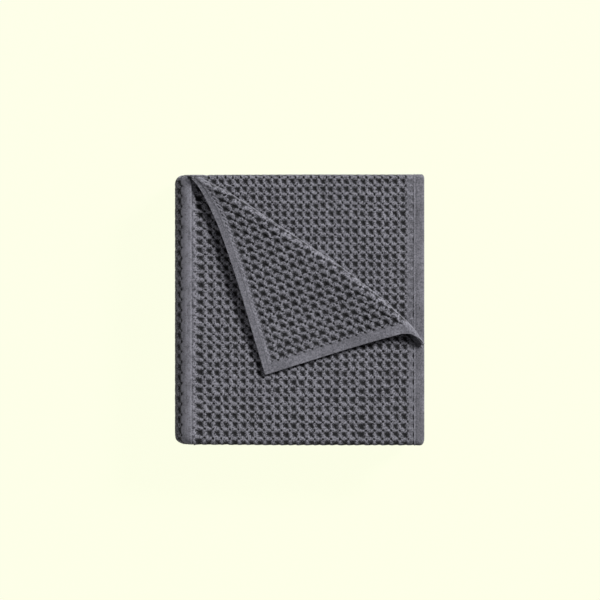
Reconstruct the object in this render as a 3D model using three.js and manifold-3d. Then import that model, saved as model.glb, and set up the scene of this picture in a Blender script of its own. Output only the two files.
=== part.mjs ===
// A folded waffle bath towel, in millimetres, +Z up, origin at the middle of its underside.
// One cloth: its far end is turned back over its face, its width is folded in three,
// the strip is rolled up flat in four panels, and the top ply's corner is turned over.
import * as THREE from "three";
import { mergeVertices } from "three/addons/utils/BufferGeometryUtils.js";
import Module from "manifold-3d";

// The cloth
const TOWEL_LENGTH = 1400;
const CLOTH = 2.0;
const GAP = 0.6;
const PLY = CLOTH + GAP;
const COLOUR = 0x5d5d66;

// The folded bundle: half its size each way
const HALF_WIDTH = 107.5;
const HALF_DEPTH = 116.6;

// Levels of the strip's middle in each panel, in plies above the lowest one
const TOP_LEVEL = 18.5;
const BOTTOM_LEVEL = 2.5;
const THIRD_LEVEL = 8.5;
const INNER_LEVEL = 14.5;

// Levels of the three widths of cloth about the strip's middle, outward positive:
// alone, under the turned end, and the turned end itself
const ALONE = { first: 1.5, outer: -0.5, tucked: 0.5 };
const COVERED = { first: 1.5, outer: -1.5, tucked: -0.5 };
const TURNED = { first: 2.5, outer: -2.5, tucked: 0.5 };

// Bends of the strip
const SHOULDER_RADIUS = 3 * PLY + 0.5;
const TURN_RADIUS = 3 * PLY;
const OUTER_REACH = 2.5 * PLY + CLOTH / 2;
const RIGHT_TURN_INSET = 4.5;
const SHOULDER_X = -HALF_WIDTH + SHOULDER_RADIUS + OUTER_REACH;
const RIGHT_TURN_X = HALF_WIDTH - RIGHT_TURN_INSET - TURN_RADIUS - OUTER_REACH;
const END_TURN_X = 97;
const TURNED_HEM_X = -93.3;
const RAMP_START_X = -76;
const RAMP_END_X = -90.5;

// Edges of the first width, and how far the tucked hem stays off the front bend
const BACK_HEM_Y = 116.3;
const TUCKED_HEM_INSET = 2.5;

// Rounding of the two left corners as seen from above
const CORNER_EASE_X = -84;
const BACK_CORNER = 8;
const FRONT_CORNER = 6.5;

// The corner that is turned over: the chord of its fold, seen from above
const FOLD_START = new THREE.Vector2(-90.3, 117.0);
const FOLD_END = new THREE.Vector2(107.1, -29.5);
const CUT_LINE = -4;
const CUT_START_X = -91.5;
const TONGUE_START = -8.5;
const TONGUE_CLOTH = 1.7;
const TONGUE_INSET = 0.3;
const ROLL_INSET = 1.1;

// How far each panel's folds lie inside the outline, so that they are as uneven as folded cloth
const PANELS = [
  { panel: "top", along: 0.12, front: 0.0, back: 0.0 },
  { panel: "left side", along: 0.28, front: 0.6, back: 0.4 },
  { panel: "bottom", along: 0.42, front: 1.1, back: 0.5 },
  { panel: "right side", along: 0.55, front: 0.3, back: 1.2 },
  { panel: "third", along: 0.68, front: 1.6, back: 0.9 },
  { panel: "inner bend", along: 0.78, front: 0.7, back: 1.5 },
  { panel: "inner", along: 0.95, front: 1.3, back: 0.6 },
];

// The turned corner, a row for each section across its fold: distance along the chord,
// bow of the fold beyond the chord, half width and height of the roll, and the height of
// the cloth's edge, all above the middle of the top ply
const FOLD_SECTIONS = [
  { along: 0, bow: 0.4, half: 3.0, height: 6.4, lift: 6.0 },
  { along: 14, bow: 2.0, half: 3.6, height: 8.2, lift: 7.4 },
  { along: 28, bow: 4.1, half: 4.2, height: 9.6, lift: 8.4 },
  { along: 52, bow: 6.3, half: 5.0, height: 10.8, lift: 8.6 },
  { along: 80, bow: 7.5, half: 5.4, height: 11.2, lift: 6.6 },
  { along: 106, bow: 8.8, half: 5.6, height: 11.2, lift: 4.6 },
  { along: 130, bow: 10.2, half: 5.6, height: 11.0, lift: 3.6 },
  { along: 151.7, bow: 11.0, half: 5.6, height: 10.8, lift: 3.0 },
  { along: 186, bow: 10.6, half: 5.2, height: 10.2, lift: 3.4 },
  { along: 214, bow: 8.0, half: 4.8, height: 9.6, lift: 6.6 },
  { along: 230, bow: 6.0, half: 4.2, height: 9.0, lift: 8.6 },
  { along: 245.8, bow: 1.4, half: 3.4, height: 7.6, lift: 7.4 },
];

// The free edges of the turned corner: distance along the chord, and across it
const FREE_EDGE = [
  { along: 0, across: -4.0 },
  { along: 7.6, across: -4.8 },
  { along: 26.9, across: -14.6 },
  { along: 50.5, across: -29.0 },
  { along: 151.7, across: -103.1 },
  { along: 218.7, across: -12.6 },
  { along: 226.6, across: -4.5 },
  { along: 236, across: -2.6 },
  { along: 245.8, across: -2.4 },
];

const mix = THREE.MathUtils.lerp;
const smooth = THREE.MathUtils.smoothstep;

// A column of a table at a place along it, straight or eased from row to row
function columnAt(rows, column, along, eased = false) {
  const last = rows.length - 1;
  const next = THREE.MathUtils.clamp(rows.findIndex((row) => row.along >= along), 1, last);
  const i = along >= rows[last].along ? last : next;
  const [a, b] = [rows[i - 1], rows[i]];
  const share = THREE.MathUtils.clamp((along - a.along) / (b.along - a.along), 0, 1);
  return mix(a[column], b[column], eased ? smooth(share, 0, 1) : share);
}

// Height of the middle of a ply
const levelZ = (level) => CLOTH / 2 + level * PLY;

// A straight run of the strip's middle, along x at a level or straight down
function run(from, to) {
  const direction = to.clone().sub(from);
  const length = direction.length();
  direction.normalize();
  return {
    length,
    at: (s) => ({ place: from.clone().addScaledVector(direction, s), heading: direction.clone() }),
  };
}

// A bend of the strip's middle about a centre, from one angle through a sweep
function bend(centre, radius, start, sweep) {
  return {
    length: Math.abs(sweep) * radius,
    at: (s) => {
      const angle = start + (Math.sign(sweep) * s) / radius;
      const out = new THREE.Vector2(Math.cos(angle), Math.sin(angle));
      const heading = new THREE.Vector2(-out.y, out.x).multiplyScalar(Math.sign(sweep));
      return { place: centre.clone().addScaledVector(out, radius), heading };
    },
  };
}

// Where the inner left bend lies, so that the cloth has its full length
function innerTurnX() {
  const shoulders = Math.PI * SHOULDER_RADIUS;
  const side = (TOP_LEVEL - BOTTOM_LEVEL) * PLY - 2 * SHOULDER_RADIUS;
  const fixed = HALF_WIDTH - SHOULDER_X + shoulders + side + RIGHT_TURN_X - SHOULDER_X
    + 2 * Math.PI * TURN_RADIUS + RIGHT_TURN_X + END_TURN_X;
  const turnedBackTo = HALF_WIDTH - TURNED_HEM_X;
  const toTheTurn = (TOWEL_LENGTH + turnedBackTo) / 2;
  return (fixed - toTheTurn) / 2;
}

// The strip's middle in the x-z plane, from the hem at the top right to the turned end inside
function stripPath() {
  const point = (x, z) => new THREE.Vector2(x, z);
  const half = Math.PI / 2;
  const [topZ, bottomZ] = [levelZ(TOP_LEVEL), levelZ(BOTTOM_LEVEL)];
  const [thirdZ, innerZ] = [levelZ(THIRD_LEVEL), levelZ(INNER_LEVEL)];
  const upperZ = topZ - SHOULDER_RADIUS;
  const lowerZ = bottomZ + SHOULDER_RADIUS;
  const sideX = SHOULDER_X - SHOULDER_RADIUS;
  const innerX = innerTurnX();
  return {
    top: run(point(HALF_WIDTH, topZ), point(SHOULDER_X, topZ)),
    upperShoulder: bend(point(SHOULDER_X, upperZ), SHOULDER_RADIUS, half, half),
    side: run(point(sideX, upperZ), point(sideX, lowerZ)),
    lowerShoulder: bend(point(SHOULDER_X, lowerZ), SHOULDER_RADIUS, 2 * half, half),
    bottom: run(point(SHOULDER_X, bottomZ), point(RIGHT_TURN_X, bottomZ)),
    rightTurn: bend(point(RIGHT_TURN_X, bottomZ + TURN_RADIUS), TURN_RADIUS, -half, 2 * half),
    third: run(point(RIGHT_TURN_X, thirdZ), point(innerX, thirdZ)),
    innerTurn: bend(point(innerX, thirdZ + TURN_RADIUS), TURN_RADIUS, -half, -2 * half),
    inner: run(point(innerX, innerZ), point(END_TURN_X, innerZ)),
  };
}

// Stations along the strip: how many steps each piece of its path takes
const STEPS = {
  top: 3, upperShoulder: 4, side: 1, lowerShoulder: 4, bottom: 3,
  rightTurn: 8, third: 3, innerTurn: 8, inner: 3,
};
const RAMP_STEPS = 4;
const END_TURN_STEPS = 4;

// One station: where the strip's middle is, how far along, and what the cloth does there
function stationsAlong() {
  const path = stripPath();
  const total = Object.values(path).reduce((sum, piece) => sum + piece.length, 0);
  const single = [];
  let before = 0;
  for (const [name, piece] of Object.entries(path)) {
    const ends = name === "top" ? topStations(piece) : evenStations(piece.length, STEPS[name]);
    for (const s of ends)
      single.push({ ...piece.at(s), name, along: (before + s) / total });
    before += piece.length;
  }
  const start = { ...path.top.at(0), name: "top", along: 0 };
  const forward = [start, ...single].map((station) => ({
    ...station, levels: levelsAt(station), turn: 0,
  }));
  const last = forward[forward.length - 1];
  const turning = Array.from({ length: END_TURN_STEPS - 1 }, (_, i) => ({
    ...last, turn: ((i + 1) * Math.PI) / END_TURN_STEPS,
  }));
  const back = forward
    .filter((station) => station.name !== "top")
    .map((station) => ({ ...station, levels: TURNED, turn: Math.PI }))
    .reverse();
  const hemAngle = Math.asin((SHOULDER_X - TURNED_HEM_X) / (SHOULDER_RADIUS + TURNED.first * PLY));
  const hem = path.upperShoulder.at(hemAngle * SHOULDER_RADIUS);
  return [...forward, ...turning, ...back,
    { ...hem, name: "hem", along: back[back.length - 1].along, levels: TURNED, turn: Math.PI }];
}

// The ends of equal steps from 0 to 1
function evenShares(steps) {
  return Array.from({ length: steps }, (_, i) => (i + 1) / steps);
}

const evenStations = (length, steps) => evenShares(steps).map((share) => share * length);

// The top run is even up to the place where the turned end's hem lifts the plies apart
function topStations(piece) {
  const rampStart = HALF_WIDTH - RAMP_START_X;
  const rampLength = RAMP_START_X - RAMP_END_X;
  const ramp = evenStations(rampLength, RAMP_STEPS).map((s) => rampStart + s);
  return [...evenStations(rampStart, STEPS.top), ...ramp, piece.length];
}

// The plies' levels before, at and after the ramp
function levelsAt(station) {
  if (station.name !== "top") return COVERED;
  const share = smooth(RAMP_START_X - station.place.x, 0, RAMP_START_X - RAMP_END_X);
  return Object.fromEntries(
    Object.keys(ALONE).map((width) => [width, mix(ALONE[width], COVERED[width], share)]));
}

// Stations across the towel's width: the width of cloth or bend each is on, and the shares of it
// that they end, closer together by the folds and hems
const ACROSS = [
  { on: "first", ends: [0, 0.012, 0.03, 0.5, 1] },
  { on: "frontBend", ends: evenShares(6) },
  { on: "outer", ends: [0.5, 1] },
  { on: "backBend", ends: evenShares(5) },
  { on: "tucked", ends: [0.5, 1] },
];
const stationsAcross = ACROSS.flatMap(({ on, ends }) => ends.map((share) => ({ on, share })));

// Where the two bends across the width have their axes, flush with the outline but for
// the panel's unevenness
function bendAxes(station) {
  const { along, levels } = station;
  const covered = (ALONE.outer - levels.outer) / (ALONE.outer - COVERED.outer);
  const share = Math.min(covered, 1);
  const frontReach = mix(frontRadius(ALONE), frontRadius(TURNED), share) + CLOTH / 2;
  const backReach = mix(backRadius(ALONE), backRadius(TURNED), share) + CLOTH / 2;
  return {
    front: -HALF_DEPTH + frontReach + columnAt(PANELS, "front", along, true),
    back: HALF_DEPTH - backReach - columnAt(PANELS, "back", along, true),
  };
}

const frontRadius = (levels) => ((levels.first - levels.outer) * PLY) / 2;
const backRadius = (levels) => ((levels.tucked - levels.outer) * PLY) / 2;

// A point of the section across the width: y, height above the strip's middle, and the
// outward normal as its y and height parts
function sectionAt(station, { on, share }) {
  const { levels } = station;
  const axes = bendAxes(station);
  if (on === "first")
    return { y: mix(BACK_HEM_Y, axes.front, share), height: levels.first * PLY, normal: [0, 1] };
  if (on === "outer")
    return { y: mix(axes.front, axes.back, share), height: levels.outer * PLY, normal: [0, -1] };
  if (on === "tucked") {
    const y = mix(axes.back, axes.front + TUCKED_HEM_INSET, share);
    return { y, height: levels.tucked * PLY, normal: [0, 1] };
  }
  const front = on === "frontBend";
  const angle = share * Math.PI;
  const radius = front ? frontRadius(levels) : backRadius(levels);
  const middle = front ? levels.first + levels.outer : levels.outer + levels.tucked;
  const normal = front ? [-Math.sin(angle), Math.cos(angle)] : [Math.sin(angle), -Math.cos(angle)];
  return {
    y: (front ? axes.front : axes.back) + normal[0] * radius,
    height: (middle * PLY) / 2 + normal[1] * radius,
    normal,
  };
}

// The middle of the cloth and its face normal at a station along and one across
function clothAt(station, across) {
  const { y, height, normal } = sectionAt(station, across);
  const { place, heading } = station;
  const outward = new THREE.Vector3(heading.y, 0, -heading.x);
  const forward = new THREE.Vector3(heading.x, 0, heading.y);
  const out = new THREE.Vector3(0, normal[0], 0).addScaledVector(outward, normal[1]);
  const point = new THREE.Vector3(place.x, y, place.y).addScaledVector(outward, height);
  if (station.turn === 0 || station.turn === Math.PI)
    return { point, face: out.multiplyScalar(Math.cos(station.turn)) };
  const face = out.clone().multiplyScalar(Math.cos(station.turn))
    .addScaledVector(forward, -Math.sin(station.turn));
  point.addScaledVector(out, PLY / 2).addScaledVector(face, -PLY / 2);
  return { point, face };
}

// Draws the left corners in, as the soft shoulder rounds off towards the front and the back
function easeCorner(point) {
  if (point.x > CORNER_EASE_X) return point;
  const corner = point.y > 0 ? BACK_CORNER : FRONT_CORNER;
  const past = Math.min(Math.max(Math.abs(point.y) - (HALF_DEPTH - corner), 0), corner);
  const inset = corner - Math.sqrt(corner * corner - past * past);
  const reach = HALF_WIDTH + CORNER_EASE_X;
  const depth = (CORNER_EASE_X - point.x) / reach;
  point.x += inset * depth * depth;
  return point;
}

// A closed sheet from a grid of middle points with face normals and thicknesses
function closedSheet(rows) {
  const [count, width] = [rows.length, rows[0].length];
  const positions = [];
  for (const side of [1, -1])
    for (const row of rows)
      for (const { point, face, cloth = CLOTH } of row)
        positions.push(...easeCorner(point.clone().addScaledVector(face, (side * cloth) / 2)));
  const index = [];
  const id = (side, i, j) => side * count * width + i * width + j;
  const quad = (a, b, c, d) => index.push(a, c, b, a, d, c);
  for (let i = 0; i < count - 1; i++)
    for (let j = 0; j < width - 1; j++) {
      quad(id(0, i, j), id(0, i, j + 1), id(0, i + 1, j + 1), id(0, i + 1, j));
      quad(id(1, i, j), id(1, i + 1, j), id(1, i + 1, j + 1), id(1, i, j + 1));
    }
  for (let i = 0; i < count - 1; i++) {
    quad(id(0, i, 0), id(0, i + 1, 0), id(1, i + 1, 0), id(1, i, 0));
    quad(id(0, i + 1, width - 1), id(0, i, width - 1), id(1, i, width - 1), id(1, i + 1, width - 1));
  }
  for (let j = 0; j < width - 1; j++) {
    quad(id(0, 0, j + 1), id(0, 0, j), id(1, 0, j), id(1, 0, j + 1));
    quad(id(0, count - 1, j), id(0, count - 1, j + 1), id(1, count - 1, j + 1), id(1, count - 1, j));
  }
  const geometry = new THREE.BufferGeometry();
  geometry.setAttribute("position", new THREE.Float32BufferAttribute(positions, 3));
  geometry.setIndex(index);
  return geometry;
}

function foldedCloth() {
  return closedSheet(stationsAlong().map((station) =>
    stationsAcross.map((across) => clothAt(station, across))));
}

// Directions along the fold's chord and across it, outward
const CHORD = FOLD_END.clone().sub(FOLD_START);
const CHORD_LENGTH = CHORD.length();
const CHORD_ALONG = CHORD.clone().normalize();
const CHORD_OUT = new THREE.Vector2(-CHORD_ALONG.y, CHORD_ALONG.x);

// A place in the fold's own directions, in the part's frame
function fromFold(along, across, height) {
  const flat = FOLD_START.clone().addScaledVector(CHORD_ALONG, along).addScaledVector(CHORD_OUT, across);
  return new THREE.Vector3(flat.x, flat.y, levelZ(TOP_LEVEL + ALONE.first) + height);
}

// Where a line parallel to the chord meets a line of constant x or y, as a distance along it
const meetX = (x, across) => (x - FOLD_START.x - CHORD_OUT.x * across) / CHORD_ALONG.x;
const meetY = (y, across) => (y - FOLD_START.y - CHORD_OUT.y * across) / CHORD_ALONG.y;

// How far a line parallel to the chord starts past it: at the back hem, or beside the turned end
const startShift = (across, inset) =>
  Math.max(meetX(CUT_START_X + inset, across), meetY(BACK_HEM_Y - inset, across));

// How far a line parallel to the chord ends past it, at the right hem
const endShift = (across, inset) => meetX(HALF_WIDTH - inset, across) - CHORD_LENGTH;

// Steps round the roll and along the cloth that lies back, how far in from the fold's ends its
// sections slant to follow the hems, and the least distance between two sections
const ROLL_STEPS = 8;
const RETURN_STEPS = 5;
const SLANT_LENGTH = 30;
const LEAST_APART = 2.5;
// Where the tongue's middle and end lie: just inside the cut line and just beyond it
const TONGUE_MIDDLE = CUT_LINE - 0.9;
const TONGUE_END = CUT_LINE + 1.2;

// The section across the fold at one place: the tongue in the top ply, the roll, and the
// cloth lying back over the ply
function foldSection(along) {
  const [bow, half, height, lift] = ["bow", "half", "height", "lift"].map((column) =>
    columnAt(FOLD_SECTIONS, column, along));
  const edge = columnAt(FREE_EDGE, "across", along);
  const centre = bow - half;
  const radius = half - CLOTH / 2;
  const fromStart = 1 - smooth(along, 0, SLANT_LENGTH);
  const fromEnd = smooth(along, CHORD_LENGTH - SLANT_LENGTH, CHORD_LENGTH);
  const place = (across, up, inset, held) => {
    const shift = startShift(across, inset) * fromStart + endShift(across, inset) * fromEnd;
    return fromFold(along + shift * held, across, up);
  };
  const points = [TONGUE_START, TONGUE_MIDDLE].map((across) =>
    ({ point: place(across, 0, TONGUE_INSET, 1), cloth: TONGUE_CLOTH }));
  points.push({ point: place(TONGUE_END, 0, TONGUE_INSET, 1) });
  for (let i = 0; i <= ROLL_STEPS; i++) {
    const angle = -Math.PI / 2 + (i * Math.PI) / ROLL_STEPS;
    const up = (height / 2) * (1 + Math.sin(angle));
    points.push({ point: place(centre + radius * Math.cos(angle), up, ROLL_INSET, 1) });
  }
  for (let i = 1; i <= RETURN_STEPS; i++) {
    const share = i / RETURN_STEPS;
    const up = mix(height, lift, 1 - (1 - share) ** 2);
    points.push({ point: place(mix(centre, edge, share), up, ROLL_INSET, 1 - share) });
  }
  return points;
}

// The turned corner's sections: its table's own places, and the free edge's
function cornerSections() {
  const places = [...FOLD_SECTIONS, ...FREE_EDGE].map((row) => row.along).sort((a, b) => a - b);
  const apart = places.filter((along, i) => i === 0 || along - places[i - 1] > LEAST_APART);
  return apart.map((along) => foldSection(along));
}

function turnedCorner() {
  const rows = cornerSections();
  const inRange = (i, list) => list[THREE.MathUtils.clamp(i, 0, list.length - 1)];
  const at = (i, j) => inRange(j, inRange(i, rows)).point;
  rows.forEach((row, i) => row.forEach((cell, j) => {
    const alongFold = at(i + 1, j).clone().sub(at(i - 1, j));
    const acrossFold = at(i, j + 1).clone().sub(at(i, j - 1));
    cell.face = alongFold.cross(acrossFold).normalize();
  }));
  return closedSheet(rows);
}

// The wedge that takes the turned corner's cloth out of the top ply
function cornerCut() {
  const start = fromFold(meetX(CUT_START_X, CUT_LINE), CUT_LINE, 0);
  const end = fromFold(meetX(2 * HALF_WIDTH, CUT_LINE), CUT_LINE, 0);
  const beyondY = 2 * HALF_DEPTH;
  const shape = new THREE.Shape();
  shape.moveTo(start.x, start.y);
  shape.lineTo(end.x, end.y);
  shape.lineTo(end.x, beyondY);
  shape.lineTo(start.x, beyondY);
  const depth = CLOTH + GAP;
  const cut = new THREE.ExtrudeGeometry(shape, { depth, bevelEnabled: false });
  return cut.translate(0, 0, levelZ(TOP_LEVEL + ALONE.first) - depth / 2);
}

const wasm = await Module();
wasm.setup();

// Turns a closed mesh into a solid that can be joined and cut
function toSolid(geometry) {
  const bare = geometry.clone();
  bare.deleteAttribute("normal");
  bare.deleteAttribute("uv");
  const merged = mergeVertices(bare, 1e-4);
  return new wasm.Manifold(new wasm.Mesh({
    numProp: 3,
    vertProperties: new Float32Array(merged.attributes.position.array),
    triVerts: new Uint32Array(merged.index.array),
  }));
}

// Turns a solid back into a mesh's geometry
function toGeometry(solid) {
  const mesh = solid.getMesh();
  const geometry = new THREE.BufferGeometry();
  geometry.setAttribute("position", new THREE.BufferAttribute(mesh.vertProperties, 3));
  geometry.setIndex(new THREE.BufferAttribute(mesh.triVerts, 1));
  geometry.computeVertexNormals();
  return geometry;
}

function towel() {
  const solid = toSolid(foldedCloth()).subtract(toSolid(cornerCut())).add(toSolid(turnedCorner()));
  const material = new THREE.MeshStandardMaterial({ color: COLOUR, roughness: 0.95, metalness: 0 });
  const mesh = new THREE.Mesh(toGeometry(solid), material);
  mesh.name = "towel";
  return mesh;
}

const part = new THREE.Group();
part.add(towel());

export default part;
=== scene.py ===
import math

import bpy
import numpy as np
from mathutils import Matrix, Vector


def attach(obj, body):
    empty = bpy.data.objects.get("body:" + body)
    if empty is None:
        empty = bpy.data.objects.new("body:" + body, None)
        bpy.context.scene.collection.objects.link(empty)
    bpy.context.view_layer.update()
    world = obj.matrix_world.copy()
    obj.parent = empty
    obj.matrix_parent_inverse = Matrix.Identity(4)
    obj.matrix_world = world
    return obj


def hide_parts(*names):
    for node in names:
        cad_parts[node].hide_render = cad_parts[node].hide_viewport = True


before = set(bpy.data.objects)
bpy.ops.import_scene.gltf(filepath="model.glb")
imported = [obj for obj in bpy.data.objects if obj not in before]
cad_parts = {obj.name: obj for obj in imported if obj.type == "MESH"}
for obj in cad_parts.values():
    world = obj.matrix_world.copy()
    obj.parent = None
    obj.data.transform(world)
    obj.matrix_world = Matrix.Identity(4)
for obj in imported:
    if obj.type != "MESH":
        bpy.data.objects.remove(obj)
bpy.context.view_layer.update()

# A folded waffle bath towel. Sizes are millimetres here, and become metres when a mesh is made.
MM = 0.001

# The cloth
TOWEL_LENGTH = 1400
CLOTH = 2.0
GAP = 0.6
PLY = CLOTH + GAP
HALF_CLOTH = CLOTH / 2

# The folded bundle, the levels of its panels and of the three widths of cloth in each
HALF_WIDTH = 107.5
HALF_DEPTH = 116.6
TOP_LEVEL = 18.5
BOTTOM_LEVEL = 2.5
THIRD_LEVEL = 8.5
INNER_LEVEL = 14.5
ALONE = {"first": 1.5, "outer": -0.5, "tucked": 0.5}
COVERED = {"first": 1.5, "outer": -1.5, "tucked": -0.5}
TURNED = {"first": 2.5, "outer": -2.5, "tucked": 0.5}

# Bends of the strip
SHOULDER_RADIUS = 3 * PLY + 0.5
TURN_RADIUS = 3 * PLY
OUTER_REACH = 2.5 * PLY + HALF_CLOTH
RIGHT_TURN_INSET = 4.5
SHOULDER_X = -HALF_WIDTH + SHOULDER_RADIUS + OUTER_REACH
RIGHT_TURN_X = HALF_WIDTH - RIGHT_TURN_INSET - TURN_RADIUS - OUTER_REACH
END_TURN_X = 97
FRONT_HOLD_X = -91.6
TURNED_HEM_X = -93.3
RAMP_START_X = -76
RAMP_END_X = -90.5
BACK_HEM_Y = 116.3
TUCKED_HEM_INSET = 2.5

# Rounding of the two left corners
CORNER_EASE_X = -84
BACK_CORNER = 8
FRONT_CORNER = 5

# The corner that is turned over
FOLD_START = np.array([-90.3, 117.0])
FOLD_END = np.array([107.1, -29.5])
CUT_LINE = -4
CUT_START_X = -91.5
ROLL_INSET = 1.1
SLANT_LENGTH = 30

# How far each panel's folds lie inside the outline
PANELS = {
    "along": [0.12, 0.28, 0.42, 0.55, 0.68, 0.78, 0.95],
    "front": [0.0, 0.6, 1.1, 0.3, 1.6, 0.7, 1.3],
    "back": [0.0, 0.4, 0.5, 1.2, 0.9, 1.5, 0.6],
}

# Sections across the turned corner's fold, as distances along its chord
FOLD_SECTIONS = {
    "along": [0, 14, 28, 52, 80, 106, 130, 151.7, 186, 214, 228.3, 235.8, 241.9, 245.8],
    "bow": [0.4, 2.0, 4.1, 6.3, 7.5, 8.8, 10.2, 11.0, 10.4, 7.9, 6.4, 4.9, 2.6, 0.9],
    "half": [3.0, 3.6, 4.2, 5.0, 5.4, 5.6, 5.6, 5.6, 5.2, 4.8, 3.6, 2.8, 2.0, 1.5],
    "height": [6.4, 8.2, 9.6, 10.8, 11.2, 11.2, 11.0, 10.8, 10.2, 9.6, 9.0, 8.2, 6.6, 4.6],
    "lift": [5.6, 6.0, 6.4, 7.2, 7.6, 6.0, 4.4, 3.2, 3.4, 6.6, 8.6, 8.0, 6.4, 4.4],
}

# The turned corner's free edges: its long hem up to the tip, and its end hem from there
LONG_EDGE = {
    "along": [0, 2.5, 6.4, 13.6, 23.6, 33.9, 50.5, 151.7],
    "across": [-5.2, -5.4, -6.2, -8.7, -13.5, -18.8, -29.0, -103.1],
}
END_EDGE = {
    "along": [151.7, 218.7, 226.6, 232.4, 238.4, 245.8],
    "across": [-103.1, -12.6, -3.2, 0.4, 1.0, -0.7],
}
TIP_ALONG = 151.7

# The weave: pitch of its cells on each ply, place of the first crossing of its ribs from the
# ply's right end and back edge, steps of the mesh in a cell, and height of the ribs
PITCH_X = 7.29
PITCH_Y = 7.54
TOP_PITCH = (PITCH_X, PITCH_Y)
TOP_FIRST = (6.86, 0.2 * PITCH_Y)
SECOND_PITCH = (6.82, 7.14)
SECOND_FIRST = (8.7, 4.3)
CORNER_PITCH = 7.84
BAND_PITCH_Y = 9.0
FINE = 8
RIB_PROUD = 0.45
SECOND_RIB_PROUD = 0.35

# Widths of the hems: hem A along the cloth's sides, hem B at its ends
LONG_HEM = 6.9
END_HEM = 8.9
SIDE_LONG_HEM = 2.4


def lerp(a, b, share):
    return a + (b - a) * share


def smoothstep(x, low, high):
    t = np.clip((np.asarray(x, float) - low) / (high - low), 0, 1)
    return t * t * (3 - 2 * t)


def falling(x, low, high):
    return 1 - smoothstep(x, low, high)


def eased_between(x, xs, ys):
    """A table's value at x, eased from row to row."""
    xs, ys = np.asarray(xs, float), np.asarray(ys, float)
    i = np.clip(np.searchsorted(xs, x) - 1, 0, len(xs) - 2)
    return lerp(ys[i], ys[i + 1], smoothstep((x - xs[i]) / (xs[i + 1] - xs[i]), 0, 1))


def curve_through(x, xs, ys):
    """A smooth curve through a table's rows that doesn't overshoot them."""
    xs, ys = np.asarray(xs, float), np.asarray(ys, float)
    step = np.diff(xs)
    rise = np.diff(ys) / step
    slope = np.zeros(len(xs))
    slope[0], slope[-1] = rise[0], rise[-1]
    turning = rise[:-1] * rise[1:] <= 0
    weight = step[:-1] + 2 * step[1:], 2 * step[:-1] + step[1:]
    with np.errstate(divide="ignore", invalid="ignore"):
        mean = (weight[0] + weight[1]) / (weight[0] / rise[:-1] + weight[1] / rise[1:])
    slope[1:-1] = np.where(turning, 0, mean)
    i = np.clip(np.searchsorted(xs, x) - 1, 0, len(xs) - 2)
    h = step[i]
    t = np.clip((x - xs[i]) / h, 0, 1)
    return (
        (1 + 2 * t) * (1 - t) ** 2 * ys[i]
        + t * (1 - t) ** 2 * h * slope[i]
        + t * t * (3 - 2 * t) * ys[i + 1]
        + t * t * (t - 1) * h * slope[i + 1]
    )


# Smooth noise from a table of random numbers, the same in each run
NOISE_SIZE = 256
NOISE_TABLE = np.random.default_rng(7).random((16, NOISE_SIZE, NOISE_SIZE))


def lattice(i, j, layer):
    """A random number from 0 to 1 for each cell."""
    return NOISE_TABLE[layer, i.astype(int) % NOISE_SIZE, j.astype(int) % NOISE_SIZE]


def noise(x, y, layer):
    """Smooth noise from -1 to 1 with bumps about 1 apart."""
    i, j = np.floor(x), np.floor(y)
    s, t = smoothstep(x - i, 0, 1), smoothstep(y - j, 0, 1)
    near = lerp(lattice(i, j, layer), lattice(i + 1, j, layer), s)
    far = lerp(lattice(i, j + 1, layer), lattice(i + 1, j + 1, layer), s)
    return lerp(near, far, t) * 2 - 1


def level_z(level):
    return HALF_CLOTH + level * PLY


# The strip's path in the x-z plane


def run(start, end):
    start, end = np.array(start, float), np.array(end, float)
    length = math.dist(start, end)
    heading = (end - start) / length
    return length, lambda s: (start + s[:, None] * heading, np.tile(heading, (len(s), 1)))


def bend(centre, radius, start, sweep):
    way = math.copysign(1, sweep)

    def at(s):
        angle = start + way * s / radius
        out = np.stack([np.cos(angle), np.sin(angle)], 1)
        return np.array(centre) + radius * out, way * np.stack([-out[:, 1], out[:, 0]], 1)

    return abs(sweep) * radius, at


def inner_turn_x():
    """Where the inner left bend lies, so that the cloth has its full length."""
    shoulders = math.pi * SHOULDER_RADIUS
    side = (TOP_LEVEL - BOTTOM_LEVEL) * PLY - 2 * SHOULDER_RADIUS
    fixed = HALF_WIDTH - SHOULDER_X + shoulders + side + RIGHT_TURN_X - SHOULDER_X
    fixed += 2 * math.pi * TURN_RADIUS + RIGHT_TURN_X + END_TURN_X
    to_the_turn = (TOWEL_LENGTH + HALF_WIDTH - TURNED_HEM_X) / 2
    return (fixed - to_the_turn) / 2


def strip_path():
    """The pieces of the strip's middle, from the hem at the top right to the turned end."""
    quarter = math.pi / 2
    top, bottom = level_z(TOP_LEVEL), level_z(BOTTOM_LEVEL)
    third, inner = level_z(THIRD_LEVEL), level_z(INNER_LEVEL)
    upper, lower = top - SHOULDER_RADIUS, bottom + SHOULDER_RADIUS
    side_x = SHOULDER_X - SHOULDER_RADIUS
    inner_x = inner_turn_x()
    pieces = {
        "top": run((HALF_WIDTH, top), (SHOULDER_X, top)),
        "upper shoulder": bend((SHOULDER_X, upper), SHOULDER_RADIUS, quarter, quarter),
        "side": run((side_x, upper), (side_x, lower)),
        "lower shoulder": bend((SHOULDER_X, lower), SHOULDER_RADIUS, 2 * quarter, quarter),
        "bottom": run((SHOULDER_X, bottom), (RIGHT_TURN_X, bottom)),
        "right turn": bend((RIGHT_TURN_X, bottom + TURN_RADIUS), TURN_RADIUS, -quarter, 2 * quarter),
        "third": run((RIGHT_TURN_X, third), (inner_x, third)),
        "inner turn": bend((inner_x, third + TURN_RADIUS), TURN_RADIUS, -quarter, -2 * quarter),
        "inner": run((inner_x, inner), (END_TURN_X, inner)),
    }
    path, before = {}, 0
    for name, (length, at) in pieces.items():
        path[name] = (before, before + length, at)
        before += length
    return path, before


PATH, PATH_LENGTH = strip_path()


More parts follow.
